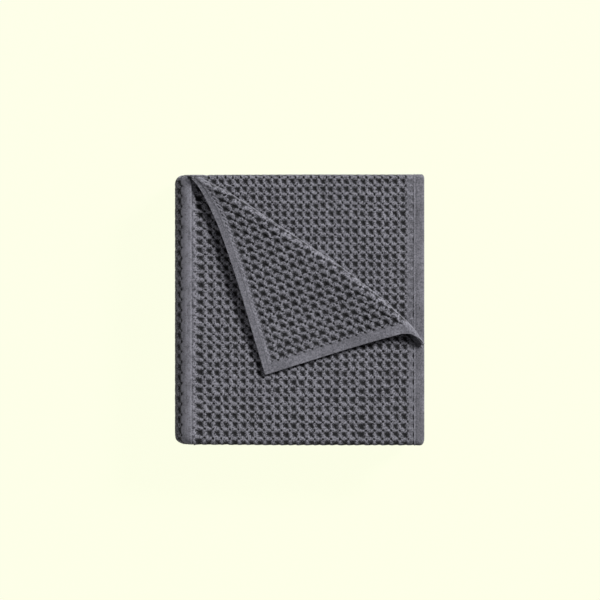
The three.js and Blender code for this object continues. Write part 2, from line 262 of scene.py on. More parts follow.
def strip_at(u):
    """Places and headings of the strip's middle at distances along it."""
    u = np.clip(u, 0, PATH_LENGTH)
    place, heading = np.zeros((len(u), 2)), np.zeros((len(u), 2))
    for start, end, at in PATH.values():
        here = (u >= start) & (u <= end)
        place[here], heading[here] = at(u[here] - start)
    return place, heading


# The section across the width

WIDTHS = ("first", "front fold", "outer", "back fold", "tucked")


def fold_radius(levels, front):
    inside = levels["outer"]
    outside = levels["first"] if front else levels["tucked"]
    return (outside - inside) * PLY / 2


def nominal_ends(levels):
    """Distances across the cloth, from its back hem, where each width or fold ends."""
    covered = levels["outer"] < ALONE["outer"]
    reach = TURNED if covered else ALONE
    front = -HALF_DEPTH + fold_radius(reach, True) + HALF_CLOTH
    back = HALF_DEPTH - fold_radius(reach, False) - HALF_CLOTH
    lengths = (
        BACK_HEM_Y - front,
        math.pi * fold_radius(levels, True),
        back - front,
        math.pi * fold_radius(levels, False),
        back - front - TUCKED_HEM_INSET,
    )
    return dict(zip(WIDTHS, np.cumsum(lengths)))


ENDS = {"face": nominal_ends(ALONE), "back": nominal_ends(TURNED)}


def levels_at(u, side):
    """The plies' levels along the strip, before, at and after the ramp by the turned end's hem."""
    if side == "back":
        return {width: np.full(len(u), float(level)) for width, level in TURNED.items()}
    x = HALF_WIDTH - u
    share = smoothstep(RAMP_START_X - x, 0, RAMP_START_X - RAMP_END_X)
    return {width: lerp(ALONE[width], COVERED[width], share) for width in ALONE}


def fold_axes(u, levels):
    """Where the two folds across the width have their axes."""
    share = np.minimum((ALONE["outer"] - levels["outer"]) / (ALONE["outer"] - COVERED["outer"]), 1)
    along = u / PATH_LENGTH
    under_band = smoothstep(u, HALF_WIDTH - FRONT_HOLD_X, HALF_WIDTH - TURNED_HEM_X) * (share >= 1)
    own = np.maximum(levels["first"] - levels["outer"], 2) * PLY / 2
    front = lerp(own, fold_radius(TURNED, True), under_band) + HALF_CLOTH
    back = lerp(fold_radius(ALONE, False), fold_radius(TURNED, False), share) + HALF_CLOTH
    front_inset = eased_between(along, PANELS["along"], PANELS["front"])
    back_inset = eased_between(along, PANELS["along"], PANELS["back"])
    return -HALF_DEPTH + front + front_inset, HALF_DEPTH - back - back_inset


def section_at(u, w, side):
    """y, height above the strip's middle and outward normal for places on the cloth."""
    ends = ENDS[side]
    levels = levels_at(u, side)
    front, back = fold_axes(u, levels)
    y, height = np.zeros(len(u)), np.zeros(len(u))
    normal = np.zeros((len(u), 2))
    before = 0
    for width in WIDTHS:
        here = (w >= before) & ((w <= ends[width]) if width != "tucked" else True)
        share = np.clip((w[here] - before) / (ends[width] - before), 0, 1)
        f, b = front[here], back[here]
        if width == "first":
            y[here] = lerp(BACK_HEM_Y, f, share)
        elif width == "outer":
            y[here] = lerp(f, b, share)
        elif width == "tucked":
            y[here] = lerp(b, f + TUCKED_HEM_INSET, share)
        if width in levels:
            height[here] = levels[width][here] * PLY
            normal[here] = (0, -1) if width == "outer" else (0, 1)
        else:
            is_front = width == "front fold"
            other = levels["first" if is_front else "tucked"][here]
            outer = levels["outer"][here]
            angle = share * math.pi
            way = np.stack([-np.sin(angle), np.cos(angle)], 1) * (1 if is_front else -1)
            radius = (other - outer) * PLY / 2
            y[here] = (f if is_front else b) + way[:, 0] * radius
            height[here] = (other + outer) * PLY / 2 + way[:, 1] * radius
            normal[here] = way
        before = ends[width]
    return y, height, normal


def cloth_at(u, w, side):
    """Middle of the cloth and the normal of its visible side, as arrays shaped as u and w."""
    u, w = np.broadcast_arrays(u, w)
    shape = u.shape
    u, w = u.ravel().astype(float), w.ravel().astype(float)
    y, height, normal = section_at(u, w, side)
    place, heading = strip_at(u)
    outward = np.stack([heading[:, 1], np.zeros(len(u)), -heading[:, 0]], 1)
    middle = np.stack([place[:, 0], y, place[:, 1]], 1) + outward * height[:, None]
    out = outward * normal[:, 1:]
    out[:, 1] += normal[:, 0]
    return middle.reshape(*shape, 3), out.reshape(*shape, 3)


def ease_corner(points):
    """Draws the left corners in, as the soft shoulder rounds off towards the front and the back."""
    x, y = points[..., 0], points[..., 1]
    corner = np.where(y > 0, BACK_CORNER, FRONT_CORNER)
    past = np.clip(np.abs(y) - (HALF_DEPTH - corner), 0, corner)
    inset = corner - np.sqrt(corner * corner - past * past)
    depth = np.clip((CORNER_EASE_X - x) / (HALF_WIDTH + CORNER_EASE_X), 0, None)
    points[..., 0] = x + inset * depth * depth


# The weave's relief. A cell runs from -1 to 1 both ways, with its pit in the middle and the
# crossings of the ribs at its corners. On the top plies x points to the left and y down.

# The pit's outline: its bulge between its points, its slanting side at the lower left, and how far
# that side is let out and eased into the others. In the tone this also leaves each pit lighter at its
# lower left, as painted light from the upper right.
PIT_BULGE = 0.15
PIT_SLANT = 0.62
PIT_LET_OUT = 0.22
PIT_EASE = 0.5

# How far a pit may lie off its cell's middle
PIT_STRAY = 0.4

# Depths in millimetres of the pit, of its leg and of the dot at each crossing
PIT_DEPTH = 1.45
LEG_DEPTH = 0.3
DOT_DEPTH = 0.8


def cell_places(a, b, layer):
    """Cell coordinates with each cell's pit moved a little off its middle."""
    col, row = np.floor(a), np.floor(b)
    x, y = 2 * (a - col) - 1, 2 * (b - row) - 1
    x = x - PIT_STRAY * (lattice(col, row, layer) - 0.5) * (1 - x * x)
    y = y - PIT_STRAY * (lattice(col, row, layer + 1) - 0.5) * (1 - y * y)
    return col, row, x, y


def smooth_maximum(one, two, reach):
    """The larger of two numbers, eased where they are within reach of each other."""
    near = np.clip(reach - np.abs(one - two), 0, None) / reach
    return np.maximum(one, two) + near**3 * reach / 6


def waffle(a, b, layer):
    """Relief, tone and exact place in its cell of the waffle weave.
    Its rib crossings are at whole numbers of a and b."""
    col, row, x, y = cell_places(a, b, layer)
    depth = PIT_DEPTH * lerp(0.75, 1.25, lattice(col, row, layer + 2))
    most, least = np.maximum(np.abs(x), np.abs(y)), np.minimum(np.abs(x), np.abs(y))
    bulging = most + PIT_BULGE * (most - least)
    # The let-out lower left side shapes the pit, and in the tone it leaves the pit lighter there as
    # painted light
    star = smooth_maximum(bulging, PIT_SLANT * (x + y) + PIT_LET_OUT, PIT_EASE)
    slope = smoothstep(star, 0.1, 1.05)
    rib = smoothstep(star, 0.5, 0.98)
    inside = smoothstep(most, 0.1, 0.4)
    leg = np.exp(-(((x + y) / 0.24) ** 2)) * inside * smoothstep(y - x, -1.4, 0.6)
    leg = leg * falling(most, 0.6, 0.86)
    corner = np.hypot(1 - np.abs(x), 1 - np.abs(y))
    dot = falling(corner, 0.1, 0.34)
    thread = noise(a * 5.3, b * 5.3, layer) + 0.6 * noise(a * 9.1, b * 9.1, layer + 1)
    height = -depth * (1 - slope) - LEG_DEPTH * leg - DOT_DEPTH * dot
    height = height + 0.1 * thread * slope
    # Painted shade: the tone is darkest in the pit, its leg and the dot at each crossing, where shade
    # falls in the hollows
    tone = lerp(0.1, 0.9, rib) * (1 - 0.6 * leg) * (1 - 0.9 * dot) * (1 + 0.2 * thread)
    cells = np.stack([col + (x + 1) / 2, row + (y + 1) / 2], -1)
    return height, np.clip(tone, 0.01, None), cells


def plain(s, t, layer):
    """Relief and tone of the plain woven hems, for distances in millimetres."""
    slub = noise(s / 1.1, t / 7.0, layer) * 0.6 + noise(s / 1.3, t / 1.3, layer + 1) * 0.6
    cloud = noise(s / 6.0, t / 9.0, layer + 2)
    return 0.09 * slub, 0.57 + 0.11 * slub + 0.1 * cloud


def jitter(a, b, layer):
    """How far the cloth's points stray from an even weave, in millimetres."""
    near = noise(a * 0.8, b * 0.8, layer)
    far = noise(a * 0.16 + 9.3, b * 0.16 + 4.1, layer)
    return 0.35 * near + 0.8 * far


# Meshes


def add_object(name, data):
    made = bpy.data.objects.new(name, data)
    bpy.context.scene.collection.objects.link(made)
    return made


def metres_mesh(name, points, faces, weave, tone, cells):
    """A mesh object from points in millimetres, with how much of the weave each point shows,
    its tone where it shows none, and its place in the weave's cells."""
    mesh = bpy.data.meshes.new(name)
    mesh.vertices.add(len(points))
    mesh.vertices.foreach_set("co", (points * MM).astype(np.float32).ravel())
    mesh.loops.add(faces.size)
    mesh.loops.foreach_set("vertex_index", faces.astype(np.int32).ravel())
    mesh.polygons.add(len(faces))
    mesh.polygons.foreach_set("loop_start", np.arange(0, faces.size, 4, dtype=np.int32))
    mesh.polygons.foreach_set("use_smooth", np.ones(len(faces), bool))
    mesh.update(calc_edges=True)
    mesh.validate()
    for label, values in (("weave", weave), ("tone", tone)):
        layer = mesh.attributes.new(label, "FLOAT", "POINT")
        layer.data.foreach_set("value", values.astype(np.float32))
    uv = mesh.uv_layers.new(name="cells")
    uv.data.foreach_set("uv", cells[faces.ravel()].astype(np.float32).ravel())
    return add_object(name, mesh)


def quads_of(ids):
    return np.stack([ids[:-1, :-1], ids[1:, :-1], ids[1:, 1:], ids[:-1, 1:]], -1)


def sheet_mesh(name, middle, out, relief, weave, tone, cells, keep=None):
    """A closed sheet: relief on its visible side, plain on the other, with a rim between.
    keep says which quads of the grid there are."""
    rows, cols = relief.shape
    if keep is None:
        keep = np.ones((rows - 1, cols - 1), bool)
    front = middle + out * (HALF_CLOTH + relief)[..., None]
    back = middle - out * HALF_CLOTH
    ids = np.arange(rows * cols).reshape(rows, cols)
    quads = quads_of(ids)[keep]
    other = rows * cols
    faces = [quads, quads[:, ::-1] + other]
    padded = np.pad(keep, 1)
    inner = padded[1:-1, 1:-1]
    rims = (
        (inner & ~padded[:-2, 1:-1], ids[:-1, :-1], ids[:-1, 1:]),
        (inner & ~padded[2:, 1:-1], ids[1:, 1:], ids[1:, :-1]),
        (inner & ~padded[1:-1, :-2], ids[1:, :-1], ids[:-1, :-1]),
        (inner & ~padded[1:-1, 2:], ids[:-1, 1:], ids[1:, 1:]),
    )
    for here, one, two in rims:
        a, b = one[here], two[here]
        faces.append(np.stack([a, b, b + other, a + other], -1))
    faces = np.concatenate(faces)
    points = np.concatenate([front.reshape(-1, 3), back.reshape(-1, 3)])
    ease_corner(points)
    used, index = np.unique(faces, return_inverse=True)
    on_points = [np.tile(values.ravel(), 2)[used] for values in (weave, tone)]
    uvs = np.tile(cells.reshape(-1, 2), (2, 1))[used]
    return metres_mesh(name, points[used], index.reshape(faces.shape), *on_points, uvs)


def grid_area(middle, keep=None):
    """Area of the kept part of a grid of points, in square millimetres."""
    one = middle[1:, :-1] - middle[:-1, :-1]
    two = middle[:-1, 1:] - middle[:-1, :-1]
    area = np.linalg.norm(np.cross(one, two), axis=-1)
    return float(area.sum() if keep is None else area[keep].sum())


# No side of a sheet is declared shorter than this
LEAST_SIDE = 11


def dress(piece, flat, area=None):
    """Gives a piece of the towel its finish and body, and hides the towel part. Its flat size and
    area, in millimetres, are turned into metres but not used further.
    """
    piece.data.materials.append(COTTON)
    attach(piece, "root")
    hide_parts("towel")
    size = tuple(max(side, LEAST_SIDE) * MM for side in flat)
    square_metres = None if area is None else area * MM * MM


# Material

# The cotton's darkest colour, that of the painted shade in the pits, and its lightest colour
COTTON_DARK = (0.003, 0.003, 0.004, 1)
COTTON_LIGHT = (0.222, 0.219, 0.251, 1)


def give(node, values):
    for name, value in values.items():
        node.inputs[name].default_value = value


def new_material(name):
    """A material and its shader node."""
    material = bpy.data.materials.new(name)
    material.use_nodes = True
    return material, material.node_tree.nodes["Principled BSDF"]


class Field:
    """A number that varies over the surface, worked out by math nodes."""

    def __init__(self, tree, socket):
        self.tree, self.socket = tree, socket

    def math(self, operation, *others):
        made = self.tree.nodes.new("ShaderNodeMath")
        made.operation = operation
        for socket, value in zip(made.inputs, (self, *others)):
            if isinstance(value, Field):
                self.tree.links.new(value.socket, socket)
            else:
                socket.default_value = value
        return Field(self.tree, made.outputs[0])

    def __add__(self, other):
        return self.math("ADD", other)

    def __sub__(self, other):
        return self.math("SUBTRACT", other)

    def __mul__(self, other):
        return self.math("MULTIPLY", other)

    def rising(self, low, high, at_low=0.0, at_high=1.0):
        """at_low below low, at_high above high, and smooth between."""
        made = self.tree.nodes.new("ShaderNodeMapRange")
        made.interpolation_type = "SMOOTHSTEP"
        self.tree.links.new(self.socket, made.inputs["Value"])
        give(made, {"From Min": low, "From Max": high, "To Min": at_low, "To Max": at_high})
        return Field(self.tree, made.outputs["Result"])


def texture(tree, kind, vector, **inputs):
    made = tree.nodes.new(kind)
    give(made, inputs)
    tree.links.new(vector, made.inputs["Vector"])
    return made


def weave_tone(tree):
    """Tone of the waffle weave, from a point's place in its cell: painted shade in the pit of each
    cell, in its leg towards its lower right and in the dot at each crossing of the ribs, with a
    painted highlight on the ribs round the dots in some cells."""
    cells = tree.nodes.new("ShaderNodeUVMap")
    cells.uv_map = "cells"
    split = tree.nodes.new("ShaderNodeSeparateXYZ")
    tree.links.new(cells.outputs["UV"], split.inputs[0])
    a, b = (Field(tree, split.outputs[i]) for i in (0, 1))
    whole = tree.nodes.new("ShaderNodeVectorMath")
    whole.operation = "FLOOR"
    tree.links.new(cells.outputs["UV"], whole.inputs[0])
    chance = texture(tree, "ShaderNodeTexWhiteNoise", whole.outputs[0])
    cell_chance = Field(tree, chance.outputs["Value"])
    thread, other_thread = (
        Field(tree, texture(tree, "ShaderNodeTexNoise", cells.outputs["UV"], **look).outputs["Fac"])
        for look in ({"Scale": 5.5, "Detail": 2, "Roughness": 0.8},
                     {"Scale": 9, "Detail": 2, "Roughness": 0.7}))
    x, y = (axis.math("FRACT") * 2 - 1 for axis in (a, b))
    even_x = x
    x = x + (thread - 0.5) * 0.7
    size_x, size_y = x.math("ABSOLUTE"), y.math("ABSOLUTE")
    most, least = size_x.math("MAXIMUM", size_y), size_x.math("MINIMUM", size_y)
    bulging = most + (most - least) * PIT_BULGE
    # The let-out lower left side makes the pit's tone lighter there, as painted light
    star = bulging.math("SMOOTH_MAX", (x + y) * PIT_SLANT + PIT_LET_OUT, PIT_EASE)
    star = star + (cell_chance - 0.5) * 0.16 + (other_thread - 0.5) * 1.5
    rib = star.rising(0.37, 1.04)
    leg = (x + y).math("ABSOLUTE").rising(0.1, 0.46, 1, 0)
    leg = leg * most.rising(0.1, 0.4) * (y - x).rising(-1.6, 0.5, 0.15, 1.0)
    leg = leg * most.rising(0.66, 0.9, 1.0, 0.15)
    leg = leg * cell_chance.rising(0.0, 1.0, 0.5, 1.0)
    from_x = even_x.math("ABSOLUTE") * -1 + 1
    from_y = size_y * -1 + 1
    corner = (from_x.math("POWER", 2.0) + from_y.math("POWER", 2.0)).math("SQRT")
    dot = corner.rising(0.2, 0.34, 1, 0)
    # Painted highlight on the ribs round the dots, in some cells
    dot_highlight = corner.rising(0.3, 0.5) * corner.rising(0.5, 0.75, 1, 0)
    # Painted shade in the pit, its leg and the dot
    tone = (rib * 0.9 + 0.01) * (leg * -0.9 + 1) * (dot * -1.0 + 1)
    tone = tone + dot_highlight * rib * cell_chance * 0.35
    return tone * ((thread - 0.5) * 3.4 + 1)


def cotton():
    """Slate-grey cotton: tone from the weave, with yarn and colour variation."""
    material, shader = new_material("waffle_cotton")
    tree = material.node_tree
    give(shader, {"Roughness": 0.95, "Sheen Weight": 0.15, "Sheen Roughness": 0.6,
                  "Specular IOR Level": 0.15})
    place = tree.nodes.new("ShaderNodeTexCoord").outputs["Object"]

    def on_points(label):
        made = tree.nodes.new("ShaderNodeAttribute")
        made.attribute_name = label
        return Field(tree, made.outputs["Fac"])

    weave, tone = on_points("weave"), on_points("tone")
    fibre = texture(tree, "ShaderNodeTexNoise", place, Scale=700, Detail=3, Roughness=0.85)
    patch = texture(tree, "ShaderNodeTexNoise", place, Scale=28, Detail=2)
    speckle = Field(tree, fibre.outputs["Fac"])
    strength = weave * 5.4 + 3.4
    drift = Field(tree, patch.outputs["Fac"]) * 0.3 + 0.85
    amount = weave_tone(tree) * weave + tone * (weave * -1 + 1)
    amount = amount * ((speckle - 0.5) * strength + 1) * drift
    ramp = tree.nodes.new("ShaderNodeValToRGB")
    dark, light = ramp.color_ramp.elements
    dark.color, light.color = COTTON_DARK, COTTON_LIGHT
    tree.links.new(amount.socket, ramp.inputs["Fac"])
    tree.links.new(ramp.outputs["Color"], shader.inputs["Base Color"])
    bump = tree.nodes.new("ShaderNodeBump")
    give(bump, {"Strength": 0.6, "Distance": 0.0004})
    tree.links.new(fibre.outputs["Fac"], bump.inputs["Height"])
    tree.links.new(bump.outputs["Normal"], shader.inputs["Normal"])
    return material


COTTON = cotton()


# The pieces of cloth

# The least distance between two steps of a mesh, in cells
LEAST_STEP = 0.02

# The right hem's seam, as distances from the cloth's end: where the weave starts, the middle of
# the stitches' thread, and the part where the mesh has closer steps. STITCH is a stitch's length,
# and HEM_PROUD how far the hem stands up.
SEAM_U = 8.95
SEAM_RIDGE = 8.5
CLOSE_START, CLOSE_END, CLOSE_STEP = 6.9, 10.6, 0.3
STITCH = 3 * PITCH_Y / FINE
HEM_PROUD = 0.45

# Places where the weave is irregular: a wider column in the front half of the top ply, its
# mottled cells beside the band, and a narrower row at the right of the second ply
WIDE_COLUMN_U, WIDE_COLUMN_START_W = 54.5, 160
BESIDE_BAND_U = 194.5
NARROW_ROW_W = 29.5

# Radius of the hem's corners at the front and at the back
FRONT_HEM_CORNER = 4.2
BACK_HEM_CORNER = 2.4

# How far the top plies run on under what covers them, and the back fold's sheet past its fold
TOP_UNDER_BAND = 4
SECOND_UNDER_CORNER = 12
PAST_BACK_FOLD = 6

# How much darker each ply's weave is: the top ply at its right and its left, the second ply
# and the turned corner
TOP_RIGHT_DARKER, TOP_DARKER = 0.17, 0.04
SECOND_DARKER = 0.13
CORNER_DARKER = 0.17


def cell_steps(start, end, steps=FINE):
    """Cell coordinates from start to end, whole steps between them."""
    first = math.ceil(start * steps) / steps
    inside = np.arange(first, end, 1 / steps)
    inside = inside[(inside > start + LEAST_STEP) & (inside < end - LEAST_STEP)]
    return np.concatenate([[start], inside, [end]])


def undulation(points):
    """The slow rise and fall of the top plies."""
    return 0.35 * noise(points[..., 0] / 62 + 3.1, points[..., 1] / 55 + 7.7, 15)


def hem_steps(end_u, first_column, pitch):
    """Cell coordinates across the top plies, with closer steps at the hem's seam."""
    steps = cell_steps(-first_column / pitch, (end_u - first_column) / pitch)
    close = (np.arange(CLOSE_START, CLOSE_END, CLOSE_STEP) - first_column) / pitch
    margin = 1.5 * LEAST_STEP
    steps = steps[(steps < close[0] - margin) | (steps > close[-1] + margin)]
    return np.sort(np.concatenate([steps, close]))


def weave_grid(start_w, width, end_u, first, pitch):
    """Cell coordinates of a top ply's points, and their distances from the cloth's end and
    across it."""
    a = hem_steps(end_u, first[0], pitch[0])
    b = cell_steps(-first[1] / pitch[1], (width - first[1]) / pitch[1])
    a2, b2 = np.meshgrid(a, b, indexing="ij")
    return a2, b2, first[0] + a2 * pitch[0], start_w + first[1] + b2 * pitch[1]


def line(distance, half_width):
    """1 on a thin line, fading to 0 at half_width from it."""
    return 1 - smoothstep(np.abs(distance), 0.25 * half_width, half_width)


def wave(distance, length):
    """A wave from -1 to 1 with some length."""
    return np.cos(2 * math.pi * distance / length)


def seam(distance, along, relief, tone):
    """A row of stitches: a raised thread with a painted highlight along it, dashed with the stitches,
    and a groove on the hem's side darkened by painted shade. distance is how far into the weave a
    point lies from the thread."""
    stitch = 0.5 + 0.5 * wave(along, STITCH)
    ridge = line(distance, 0.55)
    groove = line(distance + 1.2, 1.1)
    relief = relief + ridge * (0.12 + 0.2 * stitch) - 0.14 * groove
    # Painted highlight on the ridge, and painted shade in the groove
    return relief, tone * (1 + ridge * (0.2 + 0.55 * stitch)) * (1 - 0.16 * groove)


def right_hem(u, w, relief, weave, tone):
    """Puts the end hem and its seam into the weave."""
    flat_relief, flat_tone = plain(u, w, 12)
    edge = -0.8 * falling(u, 0, 1.2)
    hem_relief, hem_tone = seam(u - SEAM_RIDGE, w, HEM_PROUD + flat_relief + edge, flat_tone)
    hem = falling(u, SEAM_U - 0.05, SEAM_U + 0.3)
    return lerp(relief, hem_relief, hem), weave * (1 - hem), lerp(tone, hem_tone, hem)


def beside_seam(u, w, b, relief, first_whole, layer):
    """The narrow shallow cells between the seam and the first whole cell, with dips where the weave
    runs under the hem and dark strokes of painted shadow from the hem's edge in them."""
    narrow = falling(u, first_whole - 0.7, first_whole + 0.2)
    chance = lattice(np.floor(b), 0 * b, layer)
    between = np.sin(math.pi * (b - np.floor(b))) ** 2
    # Painted shadow: dark strokes where the hem's edge shades the weave
    hem_shadow_stroke = line(u - SEAM_U - 0.75, 0.8) * smoothstep(between, 0.25, 0.7)
    mark = smoothstep(noise(u / 0.9, w / 1.2, layer) + 0.5 * noise(u / 2, w / 2, layer + 1), 0.3, 0.9)
    relief = lerp(relief, 0.35 * relief + 0.25, narrow) - 0.5 * hem_shadow_stroke * chance
    tone = (0.62 + 0.1 * noise(u / 1.1, w / 1.1, layer + 2)) * (1 - 0.6 * mark)
    return relief, 1 - 0.75 * narrow, tone * (1 - 0.9 * hem_shadow_stroke * chance)


def beside_band(u, w, relief, weave, tone):
    """The crowded, mottled cells of the top ply beside the band."""
    near = smoothstep(u, BESIDE_BAND_U, BESIDE_BAND_U + 3)
    mottle = noise(u / 1.5, w / 1.7, 13) + 0.6 * noise(u / 0.9, w / 0.9, 14)
    relief = lerp(relief, 0.4 * relief + 0.3 * mottle + 1.0, near)
    return relief, weave * (1 - 0.8 * near), lerp(tone, 0.6 * (1 + 0.6 * mottle), near)


def chord_frame():
    """Length of the turned corner's chord, its direction and the direction outward from it."""
    chord = FOLD_END - FOLD_START
    length = math.dist(FOLD_START, FOLD_END)
    along = chord / length
    return length, along, np.array([-along[1], along[0]])


CHORD_LENGTH, CHORD_ALONG, CHORD_OUT = chord_frame()


def on_chord(along, across):
    """Places in the plane, from distances along the turned corner's chord and outward."""
    return FOLD_START + along[..., None] * CHORD_ALONG + across[..., None] * CHORD_OUT


def across_fold(points):
    """How far points lie across the turned corner's chord, outward."""
    return (points[..., :2] - FOLD_START) @ CHORD_OUT


def quad_centres(points):
    return (points[1:, 1:] + points[:-1, :-1]) / 2


def snap_to_cut(points, keep, cut):
    """Moves the kept quads' points that lie outside the cut back onto it."""
    used = np.zeros(points.shape[:2], bool)
    for di in (0, 1):
        for dj in (0, 1):
            used[di:points.shape[0] - 1 + di, dj:points.shape[1] - 1 + dj] |= keep
    past = across_fold(points) - cut
    move = np.where(used & (past > 0), -past, 0)
    points[..., :2] += move[..., None] * CHORD_OUT


def spread(place, at, most, reach):
    """How far places move away from a line, or towards it where most is below 0."""
    away = (place - at) / reach
    return most * np.tanh(2 * away) * np.exp(-away * away)


def darker(weave, tone, share):
    """Weave and tone of points whose weave is darker by some share, with the hems as they are."""
    less = weave * (1 - share)
    return less, tone * (1 - weave) / (1 - less)


def corner_recess(distance, radius):
    """How far a rounded corner stands back at some distance along its side."""
    near = np.clip(radius - distance, 0, radius)
    return radius - np.sqrt(radius**2 - near**2)


def top_ply():
    """The top ply with its right hem and its front fold, cut off where its corner turns over."""
    end_u = PATH["upper shoulder"][0] + TOP_UNDER_BAND
    fold, end_w = ENDS["face"]["first"], ENDS["face"]["front fold"]
    a, b, u, w = weave_grid(0, end_w, end_u, TOP_FIRST, TOP_PITCH)
    woven = smoothstep(u, SEAM_U, SEAM_U + 8)
    u_moved = np.clip(u + woven * jitter(a, b, 3) + 2.3 * smoothstep(u, 188, 197), 0, end_u)
    off_fold = smoothstep(np.abs(w - fold), 0, 14)
    w_moved = w + woven * jitter(a, b, 4) * off_fold * smoothstep(w, 0, 10)
    front_half = smoothstep(w, WIDE_COLUMN_START_W, WIDE_COLUMN_START_W + 12)
    u_moved = u_moved + front_half * spread(u, WIDE_COLUMN_U, 1.1, 8)
    middle, out = cloth_at(u_moved, w_moved, "face")
    middle[..., 2] += undulation(middle)
    relief, _, cells = waffle(a, b, 0)
    relief = relief * lerp(0.5, 1, falling(w, fold - 3, fold + 2))
    first_whole = TOP_FIRST[0] + TOP_PITCH[0]
    relief, weave, tone = beside_seam(u, w, b, relief + RIB_PROUD, first_whole, 5)
    relief, weave, tone = right_hem(u, w, relief, weave, tone)
    relief, weave, tone = beside_band(u, w, relief, weave, tone)
    share = lerp(TOP_RIGHT_DARKER, TOP_DARKER, smoothstep(u, 30, 100))
    weave, tone = darker(weave, tone, share)
    near_fold = smoothstep(w, fold - 12, fold)
    middle[..., 1] += near_fold * corner_recess(u, FRONT_HEM_CORNER)
    keep = across_fold(quad_centres(middle)) < CUT_LINE
    keep |= w[1:, 1:] > fold
    snap_to_cut(middle, keep, CUT_LINE)
    area = grid_area(middle, keep)
    piece = sheet_mesh("top_ply", middle, out, relief, weave, tone, cells, keep)
    dress(piece, (end_w, end_u), area)


def second_ply():
    """The ply that shows beside the turned corner, up to its fold along the back edge."""
    end_u = PATH["upper shoulder"][0] - 2
    start_w, end_w = ENDS["face"]["outer"], ENDS["face"]["tucked"]
    width = end_w - start_w
    a, b, u, w = weave_grid(start_w, width, end_u, SECOND_FIRST, SECOND_PITCH)
    from_fold = w - start_w
    woven = smoothstep(u, SEAM_U, SEAM_U + 8)
    u_moved = np.clip(u + woven * jitter(a, b, 6), 0, end_u)
    w_moved = w + woven * smoothstep(from_fold, 5, 16) * jitter(a, b, 8)
    right_half = falling(u, 60, 95)
    narrower = spread(from_fold, NARROW_ROW_W, -1.7, 9)
    w_moved = np.clip(w_moved + woven * right_half * narrower, start_w, end_w)
    middle, out = cloth_at(u_moved, w_moved, "face")
    middle[..., 2] += undulation(middle)
    relief, _, cells = waffle(a, b, 3)
    relief = relief * lerp(0.2, 1, smoothstep(from_fold, 3, 7))
    first_whole = SECOND_FIRST[0] + SECOND_PITCH[0]
    relief, weave, tone = beside_seam(u, w, b, relief + SECOND_RIB_PROUD, first_whole, 6)
    relief, weave, tone = right_hem(u, w, relief, weave, tone)
    weave, tone = darker(weave, tone, SECOND_DARKER)
    near_fold = falling(from_fold, 2, 12)
    middle[..., 1] -= near_fold * corner_recess(u, BACK_HEM_CORNER)
    keep = across_fold(quad_centres(middle)) > CUT_LINE - SECOND_UNDER_CORNER
    area = grid_area(middle, keep)
    piece = sheet_mesh("second_ply", middle, out, relief, weave, tone, cells, keep)
    dress(piece, (width, end_u), area)


# Steps of the turned corner's mesh: on its lying part, round its roll, on the tongue under it,
# and their length along its chord
RETURN_STEPS = 116
ROLL_STEPS = 22
TONGUE_STEPS = 6
CORNER_STEP = 0.88

# The turned corner: its length from its tip over the roll to the end of its tongue, its long hem's
# direction, the pitch of the small cells beside that hem, how far its hems stand up, and how far
# round the roll from its top the painted highlight along its edge lies, as an angle
CORNER_LENGTH = 135
LONG_HEM_WAY = math.radians(107.2)
CROWDED_PITCH = 3.9
CORNER_HEM_PROUD = 0.35
ROLL_HIGHLIGHT_ANGLE = 1.35


def corner_table(column, along):
    return curve_through(along, FOLD_SECTIONS["along"], FOLD_SECTIONS[column])


def free_edge(along):
    """How far across the chord the turned corner's free edge lies."""
    long_side = curve_through(np.minimum(along, TIP_ALONG), LONG_EDGE["along"], LONG_EDGE["across"])
    end_side = curve_through(np.maximum(along, TIP_ALONG), END_EDGE["along"], END_EDGE["across"])
    return np.where(along < TIP_ALONG, long_side, end_side)


def meet(axis, place, across):
    """How far along the chord a line across it meets some x, or with axis 1 some y."""
    return (place - FOLD_START[axis] - CHORD_OUT[axis] * across) / CHORD_ALONG[axis]


def corner_sections():
    """The turned corner's cloth as sections across its chord, each from the free edge over the
    roll to the tongue under it: distances along and across, heights, shift at the two ends,
    the roll's middle and its radius."""
    count = round(CHORD_LENGTH / CORNER_STEP)
    along = np.linspace(0, CHORD_LENGTH, count + 1)
    along[int(np.argmin(np.abs(along - TIP_ALONG)))] = TIP_ALONG
    along = along[:, None]
    bow, half, height, lift = (corner_table(c, along) for c in ("bow", "half", "height", "lift"))
    centre = bow - half
    radius = half - HALF_CLOTH
    lying = np.linspace(1, 0, RETURN_STEPS + 1)[None, :-1]
    angle = np.linspace(math.pi / 2, -math.pi / 2, ROLL_STEPS + 1)[None, :]
    tongue = np.linspace(0, 1, TONGUE_STEPS + 1)[None, 1:]
    across = np.concatenate([
        lerp(centre, free_edge(along), lying),
        centre + radius * np.cos(angle),
        lerp(centre, CUT_LINE, tongue),
    ], 1)
    up = np.concatenate([
        lerp(height, lift, 1 - (1 - lying) ** 2),
        height / 2 * (1 + np.sin(angle)),
        np.zeros((len(along), TONGUE_STEPS)),
    ], 1)
    held = np.concatenate([1 - lying, np.ones((1, ROLL_STEPS + 1 + TONGUE_STEPS))], 1)
    from_start = falling(along, 0, SLANT_LENGTH)
    from_end = smoothstep(along, CHORD_LENGTH - SLANT_LENGTH, CHORD_LENGTH)
    start_shift = np.maximum(
        meet(0, CUT_START_X + ROLL_INSET, across), meet(1, BACK_HEM_Y - ROLL_INSET, across))
    end_shift = meet(0, HALF_WIDTH - ROLL_INSET, across) - CHORD_LENGTH
    shift = (start_shift * from_start + end_shift * from_end) * held
    return along, across, up, shift, centre, radius


